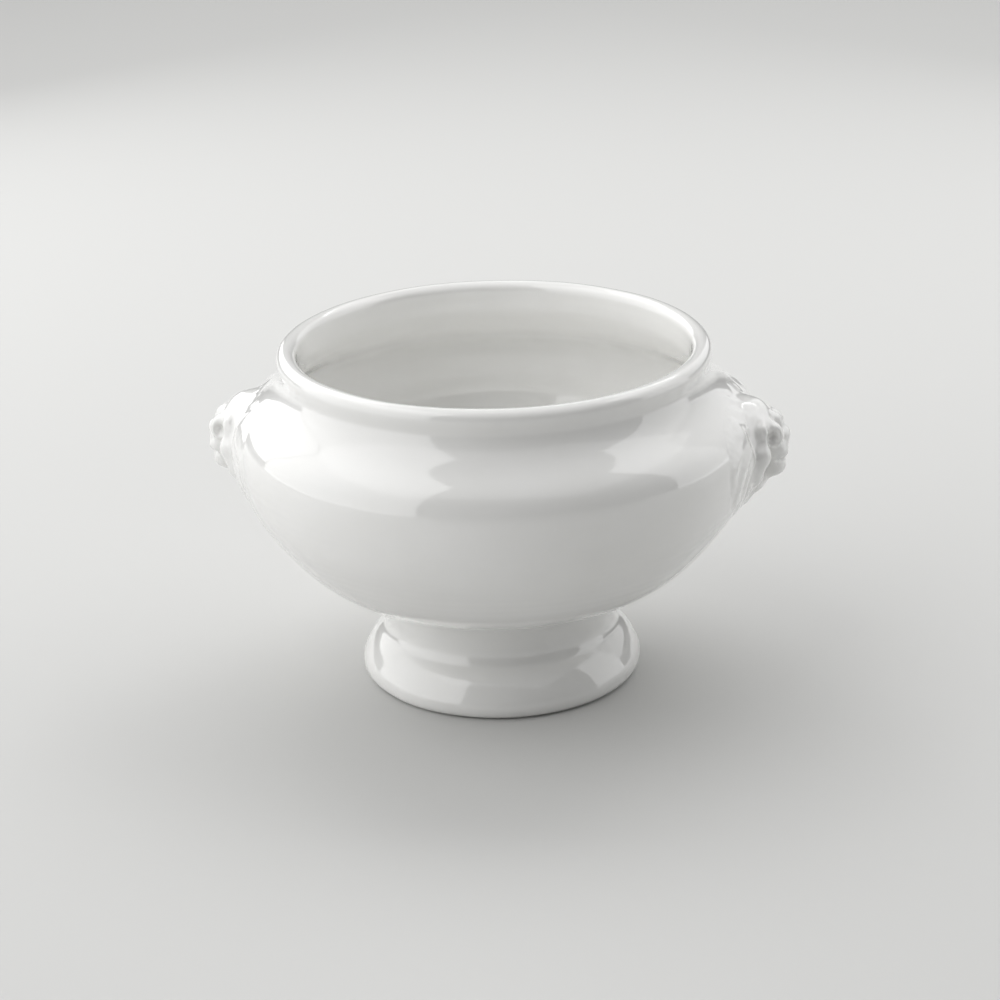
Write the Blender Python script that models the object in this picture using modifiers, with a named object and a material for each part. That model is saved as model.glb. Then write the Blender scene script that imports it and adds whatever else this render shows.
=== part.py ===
"""Footed porcelain soup tureen with two lion-head lugs.

The tureen stands on the origin with +Z up and its lugs along the X axis. It is
four pieces of clay that are stuck together with slip before firing: the turned
bowl, the hollow flared foot under it, and a moulded lion head on each side.
"""

import math

import bmesh
import bpy
import numpy as np
from mathutils import Matrix, Vector

# Driving dimensions, in millimetres. Radii are measured from the turning axis.
LIP_OUTER_RADIUS = 60.0
LIP_HALF_WIDTH = 2.8
LIP_HALF_HEIGHT = 2.9
LIP_TOP = 97.2
# Where the lip's rounding starts inside, is highest, and runs into the neck.
LIP_START_ANGLE = 170.0
LIP_CREST_ANGLE = 90.0
LIP_END_ANGLE = -10.0
WALL = 4.8
FOOT_CONTACT_OUTER = 38.1
FOOT_CONTACT_INNER = 34.6
FOOT_INNER_RADIUS = 27.2
FOOT_COLLAR_RADIUS = 32.6
JOINT_GAP = 0.3

# Key points of the bowl, as radius and height, from the neck under the lip
# down to the middle of its underside.
BOWL_OUTSIDE = [
    (59.2, 90.6),
    (59.9, 88.4),
    (65.4, 82.5),
    (70.6, 77.0),
    (72.3, 70.0),
    (71.6, 62.2),
    (69.1, 54.5),
    (64.4, 46.9),
    (58.7, 39.8),
    (51.8, 33.6),
    (42.6, 29.0),
    (32.8, 26.3),
    (20.0, 24.6),
    (0.0, 23.9),
]
# The throat of the bowl, where the inside is narrower than the lip, and the
# height left between it and the even wall below for the inside to bend in.
BOWL_THROAT = [
    (56.0, 85.4),
    (54.4, 88.8),
    (54.2, 92.2),
]
THROAT_BEND = 3.0
# The outside of the foot, from below its collar's top down to its widest ring.
FOOT_OUTSIDE = [
    (32.2, 20.5),
    (32.3, 15.6),
    (33.6, 12.7),
    (36.8, 10.3),
    (38.9, 7.3),
    (40.0, 4.2),
    (39.6, 1.5),
]
# The inside of the foot, from the contact ring up to the collar.
FOOT_INSIDE = [
    (33.6, 1.2),
    (31.8, 7.6),
    (28.0, 15.0),
]

TURNING_STEPS = 72
BODY_POINTS = 20
LIP_POINTS = 7
FOOT_OUTSIDE_POINTS = 12
FOOT_INSIDE_POINTS = 7
MASS_SEGMENTS = 20
MASS_RINGS = 12
HEAD_VOXEL = 1.0
HEAD_SOFTNESS = 0.5
HEAD_SOFTEN_ROUNDS = 2
HEAD_DETAIL = 0.16
MERGE = 0.00001
MM = 0.001

# Masses of the lion head on the +X side: centre x, y, z and half sizes. A mass
# off the middle plane is made again on the other side of it.
HEAD_MASSES = {
    "pad": ((67.3, 0.0, 67.5), (6.4, 18.0, 14.0)),
    "skull": ((69.8, 0.0, 71.0), (7.4, 13.0, 10.0)),
    "brow": ((72.2, 0.0, 77.0), (4.3, 8.6, 3.7)),
    "brow_pad": ((73.2, 5.4, 76.6), (3.2, 3.8, 2.6)),
    "nose_bridge": ((76.5, 0.0, 74.2), (3.2, 2.7, 4.2)),
    "nose": ((79.4, 0.0, 71.0), (2.4, 3.0, 2.4)),
    "muzzle": ((76.2, 0.0, 68.2), (5.4, 6.0, 4.6)),
    "whisker_pad": ((77.7, 3.4, 67.2), (3.6, 3.6, 3.6)),
    "chin": ((76.5, 0.0, 61.6), (3.9, 4.8, 3.3)),
    "cheek": ((72.2, 10.3, 67.6), (3.9, 4.9, 6.2)),
    "jaw": ((72.6, 0.0, 58.4), (4.6, 7.2, 4.6)),
    "beard": ((68.6, 0.0, 53.8), (3.2, 6.4, 6.0)),
    "ear": ((67.0, 17.4, 76.6), (3.0, 3.6, 3.6)),
    "crest": ((68.2, 0.0, 77.8), (5.0, 8.0, 3.2)),
}
# The mane: locks that fan out over the bowl around the face.
MANE_CENTRE = 68.5
MANE_LOCKS = 13
MANE_FIRST_ANGLE = -70.0
MANE_LAST_ANGLE = 84.0
MANE_INNER = (13.0, 9.5)
MANE_OUTER = (26.5, 15.5)
LOCK_HALF_WIDTH = 3.2
LOCK_HALF_DEPTH = 2.8
LOCK_LIFT = -0.8
LOCK_OVERRUN = 2.0

GLAZE = (0.90, 0.90, 0.88, 1.0)
GLAZE_ROUGHNESS = 0.12


def clear_scene():
    for thing in list(bpy.data.objects):
        bpy.data.objects.remove(thing, do_unlink=True)


def new_collection(name, hidden=False):
    collection = bpy.data.collections.new(name)
    bpy.context.scene.collection.children.link(collection)
    collection.hide_render = hidden
    return collection


def glaze_material(name):
    material = bpy.data.materials.new(name)
    material.use_nodes = True
    shader = material.node_tree.nodes["Principled BSDF"]
    shader.inputs["Base Color"].default_value = GLAZE
    shader.inputs["Roughness"].default_value = GLAZE_ROUGHNESS
    shader.inputs["Metallic"].default_value = 0.0
    return material


def spline(points, count):
    """Evenly spaced points on a natural cubic spline through the given ones."""
    knots = np.array(points, dtype=float)
    gaps = np.linalg.norm(np.diff(knots, axis=0), axis=1)
    stations = np.concatenate([[0.0], np.cumsum(gaps)])
    size = len(knots)
    system = np.eye(size)
    target = np.zeros_like(knots)
    for i in range(1, size - 1):
        slope_after = (knots[i + 1] - knots[i]) / gaps[i]
        slope_before = (knots[i] - knots[i - 1]) / gaps[i - 1]
        system[i, i - 1] = gaps[i - 1]
        system[i, i] = 2.0 * (gaps[i - 1] + gaps[i])
        system[i, i + 1] = gaps[i]
        target[i] = 6.0 * (slope_after - slope_before)
    bend = np.linalg.solve(system, target)
    curve = []
    for station in np.linspace(0.0, stations[-1], count):
        i = min(int(np.searchsorted(stations, station, side="right")) - 1, size - 2)
        t = (station - stations[i]) / gaps[i]
        s = 1.0 - t
        pull = ((s**3 - s) * bend[i] + (t**3 - t) * bend[i + 1]) * gaps[i] ** 2 / 6.0
        point = s * knots[i] + t * knots[i + 1] + pull
        curve.append((float(point[0]), float(point[1])))
    return curve


def offset_outline(outline, distance):
    """The outline moved sideways: a positive distance moves it to its left."""
    moved = []
    last = len(outline) - 1
    for i, (radius, height) in enumerate(outline):
        before = outline[max(i - 1, 0)]
        after = outline[min(i + 1, last)]
        run = (after[0] - before[0], after[1] - before[1])
        length = math.hypot(*run)
        moved.append((
            max(radius - distance * run[1] / length, 0.0),
            height + distance * run[0] / length,
        ))
    return moved


def lip_outline(first_degrees, last_degrees):
    """Points round the lip, from one angle to another, inside over to outside."""
    centre_radius = LIP_OUTER_RADIUS - LIP_HALF_WIDTH
    centre_height = LIP_TOP - LIP_HALF_HEIGHT
    points = []
    for i in range(LIP_POINTS):
        share = i / (LIP_POINTS - 1)
        angle = math.radians(first_degrees + (last_degrees - first_degrees) * share)
        points.append((
            centre_radius + LIP_HALF_WIDTH * math.cos(angle),
            centre_height + LIP_HALF_HEIGHT * math.sin(angle),
        ))
    return points


def bowl_outside():
    """The bowl's outer line below the lip, from the neck to its underside."""
    return spline(BOWL_OUTSIDE, BODY_POINTS)


def bowl_profile():
    """The bowl's whole line: from the floor's middle up, over the lip and down."""
    inner = offset_outline(BOWL_OUTSIDE, -WALL)
    even_wall_top = BOWL_THROAT[0][1] - THROAT_BEND
    even_wall = [point for point in inner if point[1] < even_wall_top]
    even_wall.reverse()
    inside = spline(even_wall + BOWL_THROAT, BODY_POINTS)
    return inside + lip_outline(LIP_START_ANGLE, LIP_END_ANGLE) + bowl_outside()


def underside_height(radius):
    """The height of the bowl's underside at a radius."""
    line = bowl_outside()
    below_belly = line[line.index(max(line)):]
    radii = [point[0] for point in reversed(below_belly)]
    heights = [point[1] for point in reversed(below_belly)]
    return float(np.interp(radius, radii, heights))


def bowl_radius(height):
    """The radius of the bowl's outside at a height below the neck."""
    line = bowl_outside()
    radii = [point[0] for point in reversed(line)]
    heights = [point[1] for point in reversed(line)]
    return float(np.interp(height, heights, radii))


def foot_profile():
    """The foot's closed line: down its outside and back up its inside."""
    top_middle = (FOOT_COLLAR_RADIUS + FOOT_INNER_RADIUS) / 2.0
    top_outer, top_centre, top_inner = [
        (radius, underside_height(radius) - JOINT_GAP)
        for radius in (FOOT_COLLAR_RADIUS, top_middle, FOOT_INNER_RADIUS)
    ]
    contact = [(FOOT_CONTACT_OUTER, 0.0), (FOOT_CONTACT_INNER, 0.0)]
    outside = spline([top_outer] + FOOT_OUTSIDE, FOOT_OUTSIDE_POINTS)
    inside = spline(FOOT_INSIDE + [top_inner], FOOT_INSIDE_POINTS)
    return outside + contact + inside + [top_centre]


def turned_object(name, profile, closed, collection):
    """A solid of revolution: the profile's points and edges under a Screw modifier."""
    mesh = bpy.data.meshes.new(name)
    vertices = [(radius * MM, 0.0, height * MM) for radius, height in profile]
    edges = [(i, i + 1) for i in range(len(vertices) - 1)]
    if closed:
        edges.append((len(vertices) - 1, 0))
    mesh.from_pydata(vertices, edges, [])
    turned = bpy.data.objects.new(name, mesh)
    collection.objects.link(turned)
    screw = turned.modifiers.new("turn", "SCREW")
    screw.axis = "Z"
    screw.steps = TURNING_STEPS
    screw.render_steps = TURNING_STEPS
    screw.use_merge_vertices = True
    screw.merge_threshold = MERGE
    screw.use_smooth_shade = True
    return turned


def make_bowl(collection):
    bowl = turned_object("bowl", bowl_profile(), False, collection)
    bowl.data.materials.append(glaze_material("bowl_glaze"))
    return bowl


def make_foot(collection):
    foot = turned_object("foot", foot_profile(), True, collection)
    foot.data.materials.append(glaze_material("foot_glaze"))
    return foot


def make_bowl_cutter(collection):
    """A solid the shape of the bowl's outside, larger by the joint gap."""
    outside = lip_outline(LIP_CREST_ANGLE, LIP_END_ANGLE) + bowl_outside()
    outline = offset_outline(outside, JOINT_GAP)
    top = (0.0, outline[0][1])
    bottom = (0.0, outline[-1][1])
    cutter = turned_object("bowl_envelope", [top] + outline[:-1] + [bottom], False, collection)
    cutter.hide_render = True
    cutter.display_type = "WIRE"
    return cutter


def add_mass(shape, centre, half_sizes, turn=None):
    """One ellipsoid of clay, as a sphere placed, turned and stretched."""
    place = Matrix.Translation(Vector(centre) * MM)
    stretch = Matrix.Diagonal(Vector(half_sizes) * MM).to_4x4()
    turn = turn or Matrix.Identity(4)
    bmesh.ops.create_uvsphere(
        shape,
        u_segments=MASS_SEGMENTS,
        v_segments=MASS_RINGS,
        radius=1.0,
        matrix=place @ turn @ stretch,
    )


def on_bowl(side, height, lift):
    """A point on the bowl's outside, lifted off it along the radius."""
    radius = bowl_radius(height)
    out = math.sqrt(radius**2 - side**2)
    scale = (radius + lift) / radius
    return Vector((out * scale, side * scale, height))


def add_mane(shape):
    """Locks of hair that lie on the bowl and point away from the face."""
    for i in range(MANE_LOCKS):
        share = i / (MANE_LOCKS - 1)
        angle = math.radians(MANE_FIRST_ANGLE + (MANE_LAST_ANGLE - MANE_FIRST_ANGLE) * share)
        for side in (-1.0, 1.0):
            root = on_bowl(
                side * MANE_INNER[0] * math.cos(angle),
                MANE_CENTRE + MANE_INNER[1] * math.sin(angle),
                LOCK_LIFT,
            )
            tip = on_bowl(
                side * MANE_OUTER[0] * math.cos(angle),
                MANE_CENTRE + MANE_OUTER[1] * math.sin(angle),
                LOCK_LIFT,
            )
            along = (tip - root).normalized()
            centre = (root + tip) / 2.0
            outward = Vector((centre.x, centre.y, 0.0)).normalized()
            across = outward.cross(along).normalized()
            outward = along.cross(across)
            turn = Matrix((outward, along, across)).transposed().to_4x4()
            half_sizes = (LOCK_HALF_DEPTH, (tip - root).length / 2.0 + LOCK_OVERRUN, LOCK_HALF_WIDTH)
            add_mass(shape, centre, half_sizes, turn)


def lion_head_mesh():
    shape = bmesh.new()
    for (out, side, height), half_sizes in HEAD_MASSES.values():
        add_mass(shape, (out, side, height), half_sizes)
        if side:
            add_mass(shape, (out, -side, height), half_sizes)
    add_mane(shape)
    mesh = bpy.data.meshes.new("lion_head")
    shape.to_mesh(mesh)
    shape.free()
    mesh.materials.append(glaze_material("lion_head_glaze"))
    return mesh


def make_lion_head(name, mesh, turn_degrees, cutter, collection):
    """One lug: its masses run together into one skin, then fitted to the bowl."""
    head = bpy.data.objects.new(name, mesh)
    collection.objects.link(head)
    head.rotation_euler = (0.0, 0.0, math.radians(turn_degrees))
    melt = head.modifiers.new("melt", "REMESH")
    melt.mode = "VOXEL"
    melt.voxel_size = HEAD_VOXEL * MM
    melt.use_smooth_shade = True
    soften = head.modifiers.new("soften", "SMOOTH")
    soften.factor = HEAD_SOFTNESS
    soften.iterations = HEAD_SOFTEN_ROUNDS
    thin = head.modifiers.new("thin", "DECIMATE")
    thin.ratio = HEAD_DETAIL
    fit = head.modifiers.new("fit_to_bowl", "BOOLEAN")
    fit.operation = "DIFFERENCE"
    fit.solver = "EXACT"
    fit.object = cutter
    return head


def main():
    clear_scene()
    parts = new_collection("soup_tureen")
    cutters = new_collection("cutters", hidden=True)
    origin = bpy.data.objects.new("tureen_origin", None)
    parts.objects.link(origin)
    envelope = make_bowl_cutter(cutters)
    mesh = lion_head_mesh()
    pieces = [
        make_bowl(parts),
        make_foot(parts),
        make_lion_head("lion_head_right", mesh, 0.0, envelope, parts),
        make_lion_head("lion_head_left", mesh, 180.0, envelope, parts),
    ]
    for piece in pieces:
        piece.parent = origin


main()
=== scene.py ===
import math

import bpy
import numpy as np
from mathutils import Matrix, Vector


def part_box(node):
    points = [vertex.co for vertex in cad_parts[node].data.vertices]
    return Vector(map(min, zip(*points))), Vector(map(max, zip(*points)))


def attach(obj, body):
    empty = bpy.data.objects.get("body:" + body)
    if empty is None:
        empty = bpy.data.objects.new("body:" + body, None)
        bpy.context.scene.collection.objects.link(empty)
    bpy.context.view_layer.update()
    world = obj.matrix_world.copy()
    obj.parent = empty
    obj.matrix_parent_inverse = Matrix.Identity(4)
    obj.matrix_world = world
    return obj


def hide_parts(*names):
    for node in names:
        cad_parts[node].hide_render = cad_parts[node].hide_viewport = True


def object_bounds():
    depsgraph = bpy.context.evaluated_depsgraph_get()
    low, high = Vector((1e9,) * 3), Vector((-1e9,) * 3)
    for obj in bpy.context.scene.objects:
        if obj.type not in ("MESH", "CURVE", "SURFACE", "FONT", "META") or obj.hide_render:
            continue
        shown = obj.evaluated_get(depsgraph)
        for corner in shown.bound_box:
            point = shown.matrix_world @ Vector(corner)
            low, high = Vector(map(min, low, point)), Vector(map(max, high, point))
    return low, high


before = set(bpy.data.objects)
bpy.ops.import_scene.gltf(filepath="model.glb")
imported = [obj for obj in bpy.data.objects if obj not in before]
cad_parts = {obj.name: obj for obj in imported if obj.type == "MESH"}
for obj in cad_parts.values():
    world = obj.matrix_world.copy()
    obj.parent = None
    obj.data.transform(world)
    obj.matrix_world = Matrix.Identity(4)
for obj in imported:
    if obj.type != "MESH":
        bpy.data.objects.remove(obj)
cad_lo, cad_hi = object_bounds()

# A footed porcelain soup tureen with a lion head on each side, in white glaze.
# The object's lengths are in millimetres until a mesh is written, and its
# materials, the camera and the lights are in metres. Angles are in degrees.
MM = 0.001
SEED = 7

# The camera: its bearing and rise as seen from the target, and its lens.
VIEW_AZIMUTH = 6.8
VIEW_ELEVATION = 21.91
VIEW_DISTANCE = 0.70187
VIEW_TARGET = Vector((0.0, 0.0, 0.045))
VIEW_ROLL = -1.52
SENSOR_WIDTH = 36.0
LENS = 89.32
SHIFT_X = 0.0016
SHIFT_Y = 0.0157

# The bowl's outline as radius and height, from the neck under the lip down to
# the middle of its underside.
BOWL_OUTSIDE = [
    (59.2, 90.6),
    (59.9, 88.4),
    (65.4, 82.5),
    (70.6, 77.0),
    (72.3, 70.0),
    (71.6, 62.2),
    (69.1, 54.5),
    (64.4, 46.9),
    (58.7, 39.8),
    (51.8, 33.6),
    (42.6, 29.0),
    (32.8, 26.3),
    (20.0, 24.6),
    (0.0, 23.9),
]
# The inside follows the outside at one wall's thickness, up to a short bend
# below the throat under the lip.
BOWL_THROAT = [
    (56.0, 85.4),
    (54.4, 88.8),
    (54.2, 92.2),
]
THROAT_BEND = 3.0
EVEN_WALL_STRIDE = 12
WALL = 4.8
LIP_CENTRE = (57.2, 94.3)
LIP_HALF_WIDTH = 2.8
LIP_HALF_HEIGHT = 2.9
LIP_START_ANGLE = 170.0
LIP_END_ANGLE = -10.0
LIP_ANGLE_STEP = 6.0

# The foot's cove from under the bowl down to the crease, the flare below that
# to the contact ring, and its inside up to the bowl.
FOOT_COVE = [
    (36.6, 27.25),
    (33.9, 25.0),
    (32.5, 21.6),
    (32.2, 18.5),
    (32.4, 15.6),
    (33.4, 13.3),
]
FOOT_FLARE = [
    (33.4, 13.3),
    (36.5, 10.4),
    (38.7, 7.1),
    (39.9, 4.0),
    (39.5, 1.4),
    (38.2, 0.15),
]
FOOT_INSIDE = [
    (34.5, 0.15),
    (33.5, 1.4),
    (31.8, 7.6),
    (28.4, 14.6),
    (27.2, 20.0),
    (26.2, 23.8),
    (23.4, 25.3),
]
FOOT_TOP_RING = (30.0, 27.2)

TURNING_STEPS = 480
OUTLINE_STEP = 0.4
GLAZE_ROUNDING = 0.45

# The waves of the clay, as a spread of lengths and a height, and the spiral of
# turning rings, as their pitch, height, twist, and how they fade in and out.
WAVE_COUNT = 36
WAVE_SHORT = 13.0
WAVE_LONG = 34.0
WAVE_HEIGHT = 0.035
WAVE_TILT = (0.6, 0.6, 1.0)
RING_HEIGHT = 0.005
RING_PITCH = 2.6
RING_TWIST = 0.35
RING_FADE = 0.21
FULL_TURN = 2.0 * math.pi


# ---------------------------------------------------------------- outlines

def spline(points, spacing):
    """Points at about this spacing on a natural cubic spline through the given ones."""
    knots = np.array(points, dtype=float)
    gaps = np.linalg.norm(np.diff(knots, axis=0), axis=1)
    stations = np.concatenate([[0.0], np.cumsum(gaps)])
    size = len(knots)
    system = np.eye(size)
    target = np.zeros_like(knots)
    for i in range(1, size - 1):
        system[i, i - 1:i + 2] = gaps[i - 1], 2.0 * (gaps[i - 1] + gaps[i]), gaps[i]
        rise_after = (knots[i + 1] - knots[i]) / gaps[i]
        rise_before = (knots[i] - knots[i - 1]) / gaps[i - 1]
        target[i] = 6.0 * (rise_after - rise_before)
    bend = np.linalg.solve(system, target)
    count = max(int(stations[-1] / spacing), 2) + 1
    place = np.linspace(0.0, stations[-1], count)
    i = np.clip(np.searchsorted(stations, place, side="right") - 1, 0, size - 2)
    t = ((place - stations[i]) / gaps[i])[:, None]
    s = 1.0 - t
    pull = ((s**3 - s) * bend[i] + (t**3 - t) * bend[i + 1]) * gaps[i][:, None] ** 2 / 6.0
    return s * knots[i] + t * knots[i + 1] + pull


def offset_inwards(outline, distance):
    """The outline moved sideways towards the hollow of the bowl."""
    run = np.gradient(outline, axis=0)
    run /= np.linalg.norm(run, axis=1)[:, None]
    moved = outline + distance * np.stack([run[:, 1], -run[:, 0]], axis=1)
    moved[:, 0] = np.maximum(moved[:, 0], 0.0)
    return moved


def lip_arc():
    angles = np.radians(np.arange(LIP_START_ANGLE, LIP_END_ANGLE, -LIP_ANGLE_STEP))
    return np.stack([
        LIP_CENTRE[0] + LIP_HALF_WIDTH * np.cos(angles),
        LIP_CENTRE[1] + LIP_HALF_HEIGHT * np.sin(angles),
    ], axis=1)


def resample(outline, spacing, closed=False):
    """The same line with its points evenly spread."""
    line = np.vstack([outline, outline[:1]]) if closed else outline
    gaps = np.linalg.norm(np.diff(line, axis=0), axis=1)
    length = np.concatenate([[0.0], np.cumsum(gaps)])
    count = int(length[-1] / spacing) + 1
    place = np.linspace(0.0, length[-1], count)
    if closed:
        place = place[:-1]
    return np.stack([np.interp(place, length, line[:, k]) for k in (0, 1)], axis=1)


def round_off(outline, spacing, softness, closed=False):
    """Corners filled and rounded the way a coat of glaze does it."""
    line = resample(outline, spacing, closed)
    reach = int(4.0 * softness / spacing) + 1
    weights = np.exp(-0.5 * (np.arange(-reach, reach + 1) * spacing / softness) ** 2)
    weights /= weights.sum()
    if closed:
        padded = np.vstack([line[-reach:], line, line[:reach]])
    else:
        mirror = np.array([-1.0, 1.0])
        before = line[1:reach + 1][::-1] * mirror
        after = line[-reach - 1:-1][::-1] * mirror
        padded = np.vstack([before, line, after])
    return np.stack([np.convolve(padded[:, k], weights, "valid") for k in (0, 1)], axis=1)


def bowl_outline():
    """Inside from the middle of the floor, over the lip, and down to the underside."""
    outside = spline(BOWL_OUTSIDE, OUTLINE_STEP)
    inner = offset_inwards(outside, WALL)
    even_wall = inner[inner[:, 1] < BOWL_THROAT[0][1] - THROAT_BEND][::-1]
    knots = np.vstack([even_wall[::EVEN_WALL_STRIDE], BOWL_THROAT])
    return np.vstack([spline(knots, OUTLINE_STEP), lip_arc(), outside])


def foot_outline():
    cove = spline(FOOT_COVE, OUTLINE_STEP)
    flare = spline(FOOT_FLARE, OUTLINE_STEP)
    inside = spline(FOOT_INSIDE, OUTLINE_STEP)
    return np.vstack([cove, flare[1:], inside, [FOOT_TOP_RING]])


# ---------------------------------------------------------------- hand-made clay

rng = np.random.default_rng(SEED)


def make_waves():
    """Long shallow waves that a turned and fired body always keeps."""
    waves = []
    for _ in range(WAVE_COUNT):
        direction = rng.normal(size=3) * WAVE_TILT
        direction /= np.linalg.norm(direction)
        length = rng.uniform(WAVE_SHORT, WAVE_LONG)
        phase = rng.uniform(0.0, FULL_TURN)
        waves.append((direction * FULL_TURN / length, phase, length / WAVE_LONG))
    return waves


WAVES = make_waves()
WAVE_SCALE = WAVE_HEIGHT / math.sqrt(sum(0.5 * size**2 for _, _, size in WAVES))


def clay_waves(points):
    """How far the surface stands proud of the drawing at each point."""
    height = np.zeros(points.shape[:-1])
    for vector, phase, size in WAVES:
        height += size * np.cos(points @ vector + phase)
    height *= WAVE_SCALE
    angle = np.arctan2(points[..., 1], points[..., 0])
    spiral = points[..., 2] + RING_TWIST * angle / FULL_TURN
    rings = np.sin(FULL_TURN * spiral / RING_PITCH) * np.sin(spiral * RING_FADE + angle)
    return height + RING_HEIGHT * rings


def new_object(name, vertices, faces, material):
    mesh = bpy.data.meshes.new(name)
    mesh.from_pydata((vertices * MM).tolist(), [], faces)
    mesh.polygons.foreach_set("use_smooth", [True] * len(mesh.polygons))
    mesh.update()
    mesh.materials.append(material)
    made = bpy.data.objects.new(name, mesh)
    bpy.context.scene.collection.objects.link(made)
    return made


def turn_clay(name, outline, closed, material):
    """A turned piece: the outline spun round the axis, with the waves of the clay."""
    run = np.roll(outline, -1, axis=0) - np.roll(outline, 1, axis=0)
    if not closed:
        run[0] = outline[1] - outline[0]
        run[-1] = outline[-1] - outline[-2]
        run[0, 1] = run[-1, 1] = 0.0
    run /= np.linalg.norm(run, axis=1)[:, None]
    out = np.stack([-run[:, 1], run[:, 0]], axis=1)
    if not closed and out[0, 1] < 0.0:
        out = -out
    angles = np.arange(TURNING_STEPS) * FULL_TURN / TURNING_STEPS
    around = np.stack([np.cos(angles), np.sin(angles)], axis=1)

    rings = outline if closed else outline[1:-1]
    rings_out = out if closed else out[1:-1]
    place = np.empty((len(rings), TURNING_STEPS, 3))
    place[..., :2] = rings[:, None, :1] * around[None]
    place[..., 2] = rings[:, None, 1]
    normal = np.empty_like(place)
    normal[..., :2] = rings_out[:, None, :1] * around[None]
    normal[..., 2] = rings_out[:, None, 1]
    place += normal * clay_waves(place)[..., None]
    vertices = place.reshape(-1, 3)

    faces = []
    rows = len(rings)
    for i in range(rows if closed else rows - 1):
        a = i * TURNING_STEPS
        b = (i + 1) % rows * TURNING_STEPS
        for j in range(TURNING_STEPS):
            k = (j + 1) % TURNING_STEPS
            faces.append((a + j, a + k, b + k, b + j))
    if not closed:
        ends = np.array([[0.0, 0.0, outline[0, 1]], [0.0, 0.0, outline[-1, 1]]])
        first = len(vertices)
        vertices = np.vstack([vertices, ends])
        last_row = (rows - 1) * TURNING_STEPS
        for j in range(TURNING_STEPS):
            k = (j + 1) % TURNING_STEPS
            faces.append((first, k, j))
            faces.append((first + 1, last_row + j, last_row + k))
    return new_object(name, vertices, faces, material)


# ---------------------------------------------------------------- lion heads

# Masses of the head on the +X side: centre out, side and height, half sizes,
# and how softly each runs into the others. One off the middle is mirrored.
HEAD_MASSES = [
    ("skull", (68.4, 0.0, 71.5), (7.2, 13.0, 9.6), 3.0),
    ("forehead", (70.8, 0.0, 76.0), (5.3, 7.6, 4.4), 2.4),
    ("brow", (73.7, 4.8, 75.8), (2.5, 4.2, 1.8), 1.8),
    ("eye_rim", (73.8, 9.7, 73.0), (1.9, 1.7, 3.2), 2.0),
    ("bridge", (76.6, 0.0, 74.0), (3.0, 2.5, 3.2), 1.8),
    ("nose", (79.2, 0.0, 71.2), (2.4, 3.3, 2.2), 1.5),
    ("nose_side", (76.4, 5.4, 72.4), (3.4, 2.8, 3.8), 1.6),
    ("muzzle", (76.2, 0.0, 67.8), (5.0, 5.8, 4.8), 1.8),
    ("whisker_pad", (77.4, 3.0, 67.0), (3.6, 3.5, 3.3), 1.4),
    ("chin", (76.6, 0.0, 62.2), (4.0, 4.6, 3.4), 2.4),
    ("cheekbone", (74.0, 10.2, 68.4), (2.4, 2.9, 3.2), 1.6),
    ("cheek", (71.0, 9.8, 65.2), (4.0, 4.6, 6.4), 2.6),
    ("jaw", (71.0, 0.0, 58.8), (4.4, 7.8, 4.6), 2.8),
    ("throat", (68.2, 0.0, 54.2), (3.2, 6.0, 4.0), 2.8),
    ("ear", (65.2, 17.4, 77.2), (2.0, 3.3, 2.9), 2.0),
]
HEAD_HOLLOWS = [
    ("eye", (77.1, 8.6, 72.5), (1.4, 2.6, 1.9), 1.5),
    ("temple", (74.9, 13.8, 74.6), (2.4, 2.7, 3.2), 2.4),
    ("under_cheek", (77.0, 8.8, 63.2), (2.0, 2.2, 2.6), 2.0),
    ("mouth_corner", (79.7, 4.8, 64.6), (1.3, 2.0, 0.5), 1.4),
    ("mouth_front", (82.0, 0.0, 64.6), (1.0, 4.6, 0.4), 1.4),
    ("lip_cleft", (82.2, 0.0, 67.2), (1.2, 0.4, 2.0), 1.0),
    ("ear_hollow", (68.2, 17.2, 77.4), (1.4, 1.6, 1.8), 1.4),
]
# Locks of the mane on one side, as side and height on the bowl from root to
# tip, with the lock's half thickness at each end and its lift off the bowl.
MANE_LOCKS = [
    ([(3.0, 79.2), (4.6, 81.4), (7.4, 83.0)], 2.5, 1.1, -2.6),
    ([(8.0, 78.8), (11.4, 80.8), (15.4, 81.6)], 2.5, 1.1, -2.6),
    ([(13.0, 77.8), (17.4, 79.4), (22.0, 79.2)], 2.5, 1.1, -2.6),
    ([(18.0, 77.2), (23.2, 77.2), (27.0, 74.4)], 2.6, 1.2, -1.9),
    ([(18.8, 74.4), (23.8, 73.2), (27.4, 69.4), (27.2, 65.4)], 2.8, 1.3, -1.8),
    ([(17.8, 71.4), (22.2, 68.8), (24.0, 63.8), (22.0, 59.0)], 2.8, 1.3, -1.5),
    ([(15.6, 69.0), (19.0, 64.6), (19.0, 59.2), (15.8, 54.2)], 2.9, 1.3, -1.6),
    ([(12.4, 64.6), (13.8, 59.8), (12.2, 55.0), (8.8, 51.2)], 2.9, 1.3, -1.5),
    ([(7.2, 59.0), (7.0, 54.6), (4.2, 50.2)], 2.8, 1.3, -1.3),
]
LOCK_STEP = 1.6
LOCK_TAPER = 1.5

# How softly locks run into each other, hair into the face, and all into the bowl,
# and how far round a mass, hollow or lock its blend is worked out.
LOCK_BLEND = 1.8
HAIR_BLEND = 1.0
SKIN_BLEND = 2.4
BLEND_MARGIN = 4.0
FAR_AWAY = 50.0

# The lug is skinned on a grid in this box. It reaches into the bowl's wall, and
# where it has no relief it lies just under the bowl's skin, out to an oval edge.
HEAD_GRID = 0.42
HEAD_BOX_LOW = (48.0, -35.0, 42.0)
HEAD_BOX_HIGH = (84.0, 35.0, 93.0)
HEAD_BAND = (1.5, 14.0)
HEAD_DEPTH = 2.2
HEAD_SINK = 0.05
HEAD_REGION_CENTRE = 67.5
HEAD_REGION_HALF = (34.0, 24.5)

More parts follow.
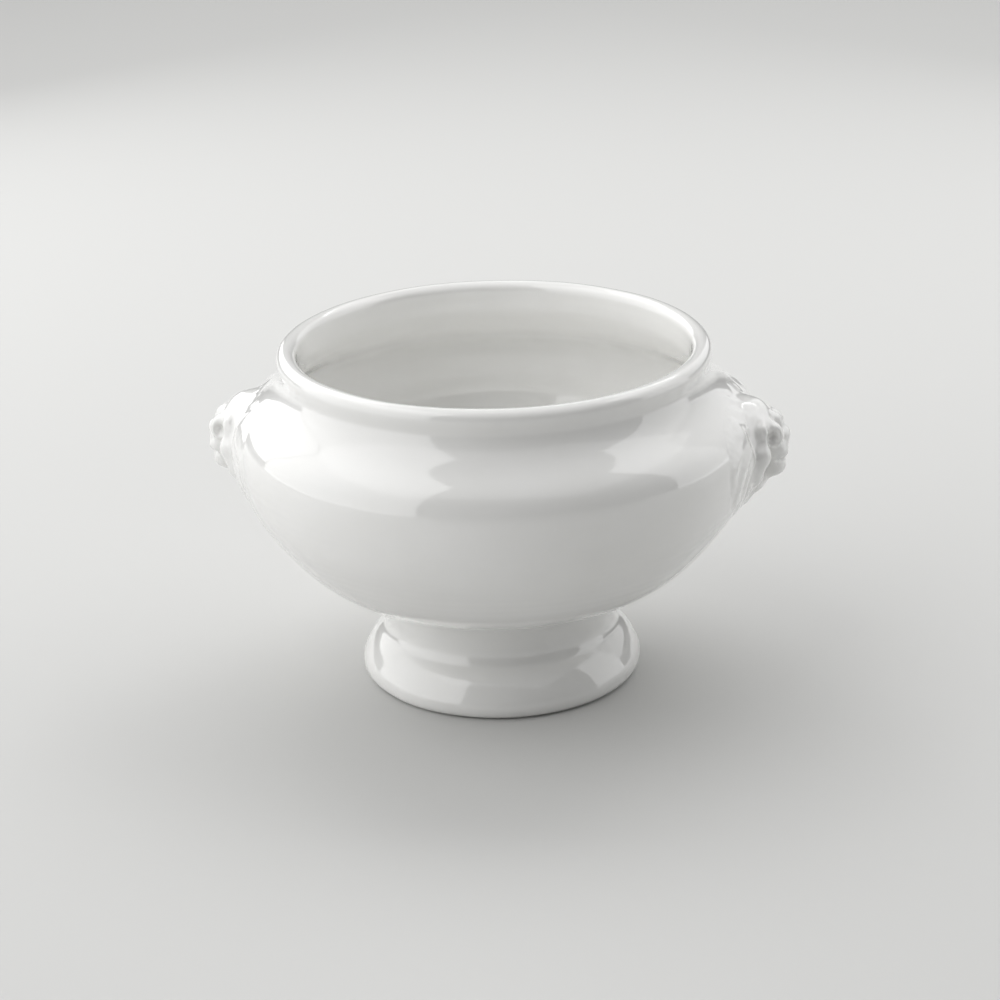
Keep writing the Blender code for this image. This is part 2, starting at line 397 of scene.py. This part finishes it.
# Drawing the skin's points onto the exact surface: rounds, and the step for slopes.
SETTLE_ROUNDS = 3
SETTLE_NUDGE = 0.02
SETTLE_LEAST_SLOPE = 0.2
SETTLE_MOST = 0.3


def soft_min(a, b, blend):
    share = np.clip(0.5 + 0.5 * (b - a) / blend, 0.0, 1.0)
    return b + (a - b) * share - blend * share * (1.0 - share)


def soft_max(a, b, blend):
    return -soft_min(-a, -b, blend)


def egg_distance(points, centre, half_sizes):
    """About the distance from the points to an ellipsoid's surface."""
    scaled = (points - centre) / half_sizes
    near = np.linalg.norm(scaled, axis=-1)
    steep = np.linalg.norm(scaled / half_sizes, axis=-1)
    return near * (near - 1.0) / np.maximum(steep, 1e-6)


def lock_distance(points, path, root_size, tip_size):
    """About the distance to a strand that tapers along a path."""
    lengths = np.linalg.norm(np.diff(path, axis=0), axis=1)
    start = np.concatenate([[0.0], np.cumsum(lengths)]) / lengths.sum()
    best = np.full(points.shape[:-1], FAR_AWAY)
    for i in range(len(path) - 1):
        span = path[i + 1] - path[i]
        share = np.clip((points - path[i]) @ span / (span @ span), 0.0, 1.0)
        gap = np.linalg.norm(points - path[i] - share[..., None] * span, axis=-1)
        along = start[i] + share * (start[i + 1] - start[i])
        size = root_size + (tip_size - root_size) * along**LOCK_TAPER
        best = np.minimum(best, gap - size)
    return best


class Shell:
    """The bowl's outside as a distance, for anything that is stuck on it."""

    def __init__(self, outline):
        below_lip = outline[int(np.argmax(outline[:, 1])):]
        line = below_lip[below_lip[:, 1] < LIP_CENTRE[1] - LIP_HALF_HEIGHT][::-1]
        self.heights = line[:, 1]
        self.radii = line[:, 0]
        self.slopes = np.gradient(self.radii) / np.gradient(self.heights)

    def radius(self, height):
        return np.interp(height, self.heights, self.radii)

    def distance(self, points):
        height = points[..., 2]
        slope = np.interp(height, self.heights, self.slopes)
        gap = np.hypot(points[..., 0], points[..., 1]) - self.radius(height)
        return gap / np.sqrt(1.0 + slope**2)

    def point(self, side, height, lift):
        """The place on the bowl at this side and height, lifted off it squarely."""
        radius = self.radius(height)
        slope = float(np.interp(height, self.heights, self.slopes))
        out = lift / math.sqrt(1.0 + slope**2)
        scale = (radius + out) / radius
        along = math.sqrt(radius**2 - side**2) * scale
        return np.array([along, side * scale, height - out * slope])


def head_parts(shell):
    """Every mass, hollow and lock, with its mirror image where it is off the middle."""
    masses, hollows, locks = [], [], []
    for listing, made in ((HEAD_MASSES, masses), (HEAD_HOLLOWS, hollows)):
        for _, centre, half_sizes, blend in listing:
            for side in ((1.0,) if centre[1] == 0.0 else (1.0, -1.0)):
                place = np.array(centre) * (1.0, side, 1.0)
                made.append((place, np.array(half_sizes), blend))
    for way, root_size, tip_size, lift in MANE_LOCKS:
        smooth = spline(way, LOCK_STEP)
        for side in (1.0, -1.0):
            path = np.array([shell.point(side * y, z, lift) for y, z in smooth])
            locks.append((path, root_size, tip_size))
    return masses, hollows, locks


def near_box(points, low, high):
    inside = np.all((points > low) & (points < high), axis=-1)
    return np.nonzero(inside)[0]


def head_distance(points, parts, shell, turn):
    """Below zero inside the lion head; points are on the +X side, turn places it."""
    masses, hollows, locks = parts
    bowl = shell.distance(points) - clay_waves(points * turn)
    clay = bowl + HEAD_SINK

    hair = np.full(len(points), FAR_AWAY)
    for path, root_size, tip_size in locks:
        reach = root_size + BLEND_MARGIN
        near = near_box(points, path.min(axis=0) - reach, path.max(axis=0) + reach)
        strand = lock_distance(points[near], path, root_size, tip_size)
        hair[near] = soft_min(hair[near], strand, LOCK_BLEND)

    face = np.full(len(points), FAR_AWAY)
    for adds, listing in ((True, masses), (False, hollows)):
        for centre, half_sizes, blend in listing:
            reach = half_sizes + BLEND_MARGIN
            near = near_box(points, centre - reach, centre + reach)
            egg = egg_distance(points[near], centre, half_sizes)
            if adds:
                face[near] = soft_min(face[near], egg, blend)
            else:
                face[near] = soft_max(face[near], -egg, blend)

    head = soft_min(face, hair, HAIR_BLEND)
    clay = soft_min(clay, head, SKIN_BLEND)
    across = points[:, 1] / HEAD_REGION_HALF[0]
    up = (points[:, 2] - HEAD_REGION_CENTRE) / HEAD_REGION_HALF[1]
    edge = (np.hypot(across, up) - 1.0) * min(HEAD_REGION_HALF)
    return np.maximum(np.maximum(clay, -bowl - HEAD_DEPTH), edge)


def net_surface(field, origin, step):
    """A mesh where the field crosses zero: one vertex to a cell, by surface nets."""
    size = np.array(field.shape) - 1
    inside = field < 0.0
    total = np.zeros(tuple(size) + (3,))
    hits = np.zeros(tuple(size))
    for axis in range(3):
        others = [k for k in range(3) if k != axis]
        for shift_a in (0, 1):
            for shift_b in (0, 1):
                shift = [0, 0, 0]
                shift[others[0]] = shift_a
                shift[others[1]] = shift_b
                start = tuple(slice(s, s + n) for s, n in zip(shift, size))
                shift[axis] = 1
                end = tuple(slice(s, s + n) for s, n in zip(shift, size))
                shift[axis] = 0
                crossing = inside[start] != inside[end]
                a = field[start][crossing]
                b = field[end][crossing]
                spot = np.zeros((len(a), 3))
                spot[:, axis] = a / (a - b)
                spot[:, others[0]] = shift_a
                spot[:, others[1]] = shift_b
                total[crossing] += spot
                hits[crossing] += 1
    active = hits > 0
    number = np.full(tuple(size), -1, dtype=int)
    number[active] = np.arange(int(active.sum()))
    cells = np.argwhere(active)
    vertices = origin + (cells + total[active] / hits[active][:, None]) * step

    faces = []
    for axis in range(3):
        one, two = (axis + 1) % 3, (axis + 2) % 3
        window = [slice(1, n) for n in size]
        window[axis] = slice(0, size[axis])
        ahead = [slice(1, n) for n in size]
        ahead[axis] = slice(1, size[axis] + 1)
        a = inside[tuple(window)]
        b = inside[tuple(ahead)]
        for wanted, flip in ((a & ~b, False), (b & ~a, True)):
            spots = np.argwhere(wanted) + 1
            spots[:, axis] -= 1
            corners = []
            for back_one, back_two in ((0, 0), (1, 0), (1, 1), (0, 1)):
                cell = spots.copy()
                cell[:, one] -= back_one
                cell[:, two] -= back_two
                corners.append(number[cell[:, 0], cell[:, 1], cell[:, 2]])
            quad = np.stack(corners[::-1] if flip else corners, axis=1)
            faces.append(quad)
    return vertices, np.vstack(faces)


def press_lion_head(name, outline, turn, material):
    """One lug: its field sampled on a grid, skinned, and drawn onto the exact surface."""
    shell = Shell(outline)
    parts = head_parts(shell)
    low = np.array(HEAD_BOX_LOW)
    high = np.array(HEAD_BOX_HIGH)
    counts = np.ceil((high - low) / HEAD_GRID).astype(int)
    axes = [low[k] + HEAD_GRID * np.arange(counts[k]) for k in range(3)]
    grid = np.stack(np.meshgrid(*axes, indexing="ij"), axis=-1)
    field = np.full(grid.shape[:3], 1.0)
    depth = shell.distance(grid)
    band = (depth > -HEAD_DEPTH - HEAD_BAND[0]) & (depth < HEAD_BAND[1])
    field[band] = head_distance(grid[band], parts, shell, turn)
    vertices, faces = net_surface(field, low, HEAD_GRID)

    most = SETTLE_MOST * HEAD_GRID
    for _ in range(SETTLE_ROUNDS):
        here = head_distance(vertices, parts, shell, turn)
        slope = np.stack([
            head_distance(vertices + np.eye(3)[k] * SETTLE_NUDGE, parts, shell, turn) - here
            for k in range(3)
        ], axis=1) / SETTLE_NUDGE
        steep = np.maximum((slope**2).sum(axis=1), SETTLE_LEAST_SLOPE)
        move = here[:, None] * slope / steep[:, None]
        vertices = vertices - np.clip(move, -most, most)
    return new_object(name, vertices * turn, faces.tolist(), material)


# ---------------------------------------------------------------- glaze

BODY_IOR = 1.52
COAT_IOR = 1.5
COAT_ROUGHNESS = 0.02
GLAZE_THIN = (0.905, 0.903, 0.884, 1.0)
GLAZE_THICK = (0.945, 0.944, 0.930, 1.0)
# Greyer colour for the hollows: partly the tint of glaze pooled thick there, partly painted
# shade for the shade that falls in recesses.
POOLED_TINT_AND_PAINTED_SHADE = (0.830, 0.828, 0.805, 1.0)
GLAZE_ROUGHNESS = (0.055, 0.115)
CLOUD_RAMP = (0.32, 0.72)
HOLLOW_POINTINESS = (0.42, 0.50)
POOL_AND_SHADE_SHARE = 0.35
PEEL_STRENGTH = 0.12
PEEL_HEIGHT = 0.00004

# The unglazed contact ring: how high it reaches, how ragged its edge is, and clay.
BARE_FULL = 0.00025
BARE_NONE = 0.00045
BARE_RAGGED = 0.0006
BARE_ROUGHNESS = 0.78
CLAY_DARK = (0.60, 0.575, 0.53, 1.0)
CLAY_PALE = (0.76, 0.74, 0.70, 1.0)

FLOOR_COLOUR = (0.62, 0.62, 0.61, 1.0)
FLOOR_ROUGHNESS = 0.7
FLOOR_GLOSS = 0.1
FLOOR_HALF = 8.0


def node(tree, kind, **values):
    """A new node with its inputs, or its own settings, given by name."""
    made = tree.nodes.new(kind)
    for key, value in values.items():
        if key in made.inputs:
            made.inputs[key].default_value = value
        else:
            setattr(made, key, value)
    return made


def glaze_material(name, bare_below=None):
    """Glossy white glaze, greyer in hollows as pooled glaze and painted shade, and bare
    clay below a height.
    """
    material = bpy.data.materials.new(name)
    material.use_nodes = True
    tree = material.node_tree
    links = tree.links
    shader = tree.nodes["Principled BSDF"]
    shader.inputs["Metallic"].default_value = 0.0
    shader.inputs["IOR"].default_value = BODY_IOR
    shader.inputs["Coat Weight"].default_value = 1.0
    shader.inputs["Coat Roughness"].default_value = COAT_ROUGHNESS
    shader.inputs["Coat IOR"].default_value = COAT_IOR

    place = node(tree, "ShaderNodeTexCoord")
    cloud = node(tree, "ShaderNodeTexNoise", Scale=28.0, Detail=4.0, Roughness=0.55)
    links.new(place.outputs["Object"], cloud.inputs["Vector"])
    tint = node(tree, "ShaderNodeValToRGB")
    tint.color_ramp.elements[0].position = CLOUD_RAMP[0]
    tint.color_ramp.elements[0].color = GLAZE_THIN
    tint.color_ramp.elements[1].position = CLOUD_RAMP[1]
    tint.color_ramp.elements[1].color = GLAZE_THICK
    links.new(cloud.outputs["Fac"], tint.inputs["Fac"])

    # Hollows found by pointiness get the greyer colour: pooled-glaze tint and painted shade
    # in the recesses.
    geometry = node(tree, "ShaderNodeNewGeometry")
    hollow = node(tree, "ShaderNodeMapRange")
    hollow.inputs["From Min"].default_value = HOLLOW_POINTINESS[0]
    hollow.inputs["From Max"].default_value = HOLLOW_POINTINESS[1]
    hollow.inputs["To Min"].default_value = POOL_AND_SHADE_SHARE
    hollow.inputs["To Max"].default_value = 0.0
    links.new(geometry.outputs["Pointiness"], hollow.inputs["Value"])
    pool_and_shade_mix = node(tree, "ShaderNodeMix", data_type="RGBA")
    pool_and_shade_mix.inputs["B"].default_value = POOLED_TINT_AND_PAINTED_SHADE
    links.new(hollow.outputs["Result"], pool_and_shade_mix.inputs["Factor"])
    links.new(tint.outputs["Color"], pool_and_shade_mix.inputs["A"])
    colour = pool_and_shade_mix.outputs["Result"]

    smear = node(tree, "ShaderNodeTexNoise", Scale=60.0, Detail=3.0, Roughness=0.5)
    links.new(place.outputs["Object"], smear.inputs["Vector"])
    gloss = node(tree, "ShaderNodeMapRange")
    gloss.inputs["To Min"].default_value = GLAZE_ROUGHNESS[0]
    gloss.inputs["To Max"].default_value = GLAZE_ROUGHNESS[1]
    links.new(smear.outputs["Fac"], gloss.inputs["Value"])
    roughness = gloss.outputs["Result"]

    peel = node(tree, "ShaderNodeTexNoise", Scale=420.0, Detail=2.0, Roughness=0.45)
    links.new(place.outputs["Object"], peel.inputs["Vector"])
    bump = node(tree, "ShaderNodeBump", Strength=PEEL_STRENGTH, Distance=PEEL_HEIGHT)
    links.new(peel.outputs["Fac"], bump.inputs["Height"])
    links.new(bump.outputs["Normal"], shader.inputs["Normal"])

    if bare_below is not None:
        parts = node(tree, "ShaderNodeSeparateXYZ")
        links.new(place.outputs["Object"], parts.inputs["Vector"])
        ragged = node(tree, "ShaderNodeTexNoise", Scale=160.0, Detail=3.0)
        links.new(place.outputs["Object"], ragged.inputs["Vector"])
        sway = node(tree, "ShaderNodeMath", operation="MULTIPLY_ADD")
        links.new(ragged.outputs["Fac"], sway.inputs[0])
        sway.inputs[1].default_value = BARE_RAGGED
        links.new(parts.outputs["Z"], sway.inputs[2])
        bare = node(tree, "ShaderNodeMapRange")
        bare.inputs["From Min"].default_value = bare_below + BARE_NONE
        bare.inputs["From Max"].default_value = bare_below + BARE_FULL
        links.new(sway.outputs["Value"], bare.inputs["Value"])
        grain = node(tree, "ShaderNodeTexNoise", Scale=1800.0, Detail=2.0)
        links.new(place.outputs["Object"], grain.inputs["Vector"])
        biscuit = node(tree, "ShaderNodeValToRGB")
        biscuit.color_ramp.elements[0].color = CLAY_DARK
        biscuit.color_ramp.elements[1].color = CLAY_PALE
        links.new(grain.outputs["Fac"], biscuit.inputs["Fac"])
        stripped = node(tree, "ShaderNodeMix", data_type="RGBA")
        links.new(bare.outputs["Result"], stripped.inputs["Factor"])
        links.new(colour, stripped.inputs["A"])
        links.new(biscuit.outputs["Color"], stripped.inputs["B"])
        colour = stripped.outputs["Result"]
        dulled = node(tree, "ShaderNodeMix", data_type="FLOAT")
        links.new(bare.outputs["Result"], dulled.inputs["Factor"])
        links.new(roughness, dulled.inputs["A"])
        dulled.inputs["B"].default_value = BARE_ROUGHNESS
        roughness = dulled.outputs["Result"]

    links.new(colour, shader.inputs["Base Color"])
    links.new(roughness, shader.inputs["Roughness"])
    return material


def floor_material():
    material = bpy.data.materials.new("pale_floor")
    material.use_nodes = True
    tree = material.node_tree
    shader = tree.nodes["Principled BSDF"]
    shader.inputs["Base Color"].default_value = FLOOR_COLOUR
    shader.inputs["Roughness"].default_value = FLOOR_ROUGHNESS
    shader.inputs["Specular IOR Level"].default_value = FLOOR_GLOSS
    return material


# ---------------------------------------------------------------- studio

PANEL_DISTANCE = 0.8
CEILING_HEIGHT = 1.5
WORLD_LIGHT = 0.07


def add_camera():
    data = bpy.data.cameras.new("camera")
    data.sensor_width = SENSOR_WIDTH
    data.lens = LENS
    data.shift_x = SHIFT_X
    data.shift_y = SHIFT_Y
    camera = bpy.data.objects.new("camera", data)
    bpy.context.scene.collection.objects.link(camera)
    turn, rise = math.radians(VIEW_AZIMUTH), math.radians(VIEW_ELEVATION)
    back = Vector((
        math.cos(rise) * math.sin(turn),
        -math.cos(rise) * math.cos(turn),
        math.sin(rise),
    ))
    facing = (-back).to_track_quat("-Z", "Y").to_matrix().to_4x4()
    roll = Matrix.Rotation(math.radians(VIEW_ROLL), 4, "Z")
    place = Matrix.Translation(VIEW_TARGET + back * VIEW_DISTANCE)
    camera.matrix_world = place @ facing @ roll
    bpy.context.scene.camera = camera


def new_light(name, width, depth, radiance):
    """A rectangular lamp that looks equally bright from everywhere in front of it."""
    data = bpy.data.lights.new(name, "AREA")
    data.shape = "RECTANGLE"
    data.size = width
    data.size_y = depth
    data.energy = radiance * math.pi * width * depth
    light = bpy.data.objects.new(name, data)
    bpy.context.scene.collection.objects.link(light)
    return light


def add_panel(name, first_bearing, last_bearing, bottom, top, radiance):
    """An upright panel between two bearings: 0 is in front, 90 on the right."""
    middle = math.radians((first_bearing + last_bearing) / 2.0)
    half_angle = math.radians((last_bearing - first_bearing) / 2.0)
    width = 2.0 * PANEL_DISTANCE * math.tan(half_angle)
    direction = Vector((math.sin(middle), -math.cos(middle), 0.0))
    light = new_light(name, width, top - bottom, radiance)
    light.location = direction * PANEL_DISTANCE
    light.location.z = (bottom + top) / 2.0
    light.rotation_euler = (-direction).to_track_quat("-Z", "Y").to_euler()
    light.visible_camera = False


def add_ceiling(name, behind, width, depth, radiance):
    """A level panel overhead that shines straight down."""
    light = new_light(name, width, depth, radiance)
    light.location = (0.0, behind, CEILING_HEIGHT)


def add_floor(height):
    mesh = bpy.data.meshes.new("floor")
    corners = [
        (x * FLOOR_HALF, y * FLOOR_HALF, height)
        for x, y in ((-1.0, -1.0), (1.0, -1.0), (1.0, 1.0), (-1.0, 1.0))
    ]
    mesh.from_pydata(corners, [], [(0, 1, 2, 3)])
    mesh.materials.append(floor_material())
    floor = bpy.data.objects.new("floor", mesh)
    bpy.context.scene.collection.objects.link(floor)


def add_world(strength):
    world = bpy.data.worlds.new("studio")
    world.use_nodes = True
    background = world.node_tree.nodes["Background"]
    background.inputs["Color"].default_value = (1.0, 1.0, 1.0, 1.0)
    background.inputs["Strength"].default_value = strength
    bpy.context.scene.world = world


def light_studio():
    add_world(WORLD_LIGHT)
    add_panel("left_box", -108.0, -26.0, 0.0, 2.4, 1.35)
    add_panel("right_scrim", 85.0, 120.0, 0.0, 1.4, 1.15)
    add_panel("back_right_scrim", 120.0, 165.0, 0.15, 1.3, 0.75)
    add_panel("back_left_scrim", -155.0, -108.0, 0.15, 1.3, 1.4)
    add_ceiling("overhead", 0.0, 3.0, 3.0, 0.43)
    add_ceiling("back_overhead", 1.1, 2.0, 1.2, 3.1)


# ---------------------------------------------------------------- the tureen

def fit_to_box(outline, name):
    """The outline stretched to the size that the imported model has."""
    low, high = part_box(name)
    radial = (high.x - low.x) / 2.0 / MM / outline[:, 0].max()
    bottom, top = outline[:, 1].min(), outline[:, 1].max()
    rise = (high.z - low.z) / MM / (top - bottom)
    fitted = outline.copy()
    fitted[:, 0] *= radial
    fitted[:, 1] = low.z / MM + (outline[:, 1] - bottom) * rise
    return fitted


def claim(piece, replaced):
    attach(piece, "root")
    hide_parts(replaced)


def main():
    bpy.context.scene.view_settings.view_transform = "Standard"
    add_camera()
    light_studio()
    add_floor(cad_lo.z)

    bowl_line = round_off(bowl_outline(), OUTLINE_STEP, GLAZE_ROUNDING)
    bowl_line = fit_to_box(bowl_line, "bowl")
    bowl = turn_clay("glazed_bowl", bowl_line, False, glaze_material("bowl_glaze_finish"))
    claim(bowl, "bowl")

    foot_line = round_off(foot_outline(), OUTLINE_STEP, GLAZE_ROUNDING, closed=True)
    foot_glaze = glaze_material("foot_glaze_finish", bare_below=cad_lo.z)
    foot = turn_clay("glazed_foot", foot_line, True, foot_glaze)
    claim(foot, "foot")

    head_glaze = glaze_material("lion_head_glaze_finish")
    for side, sign in (("right", 1.0), ("left", -1.0)):
        turn = np.array([sign, sign, 1.0])
        head = press_lion_head("glazed_lion_head_" + side, bowl_line, turn, head_glaze)
        claim(head, "lion_head_" + side)


main()
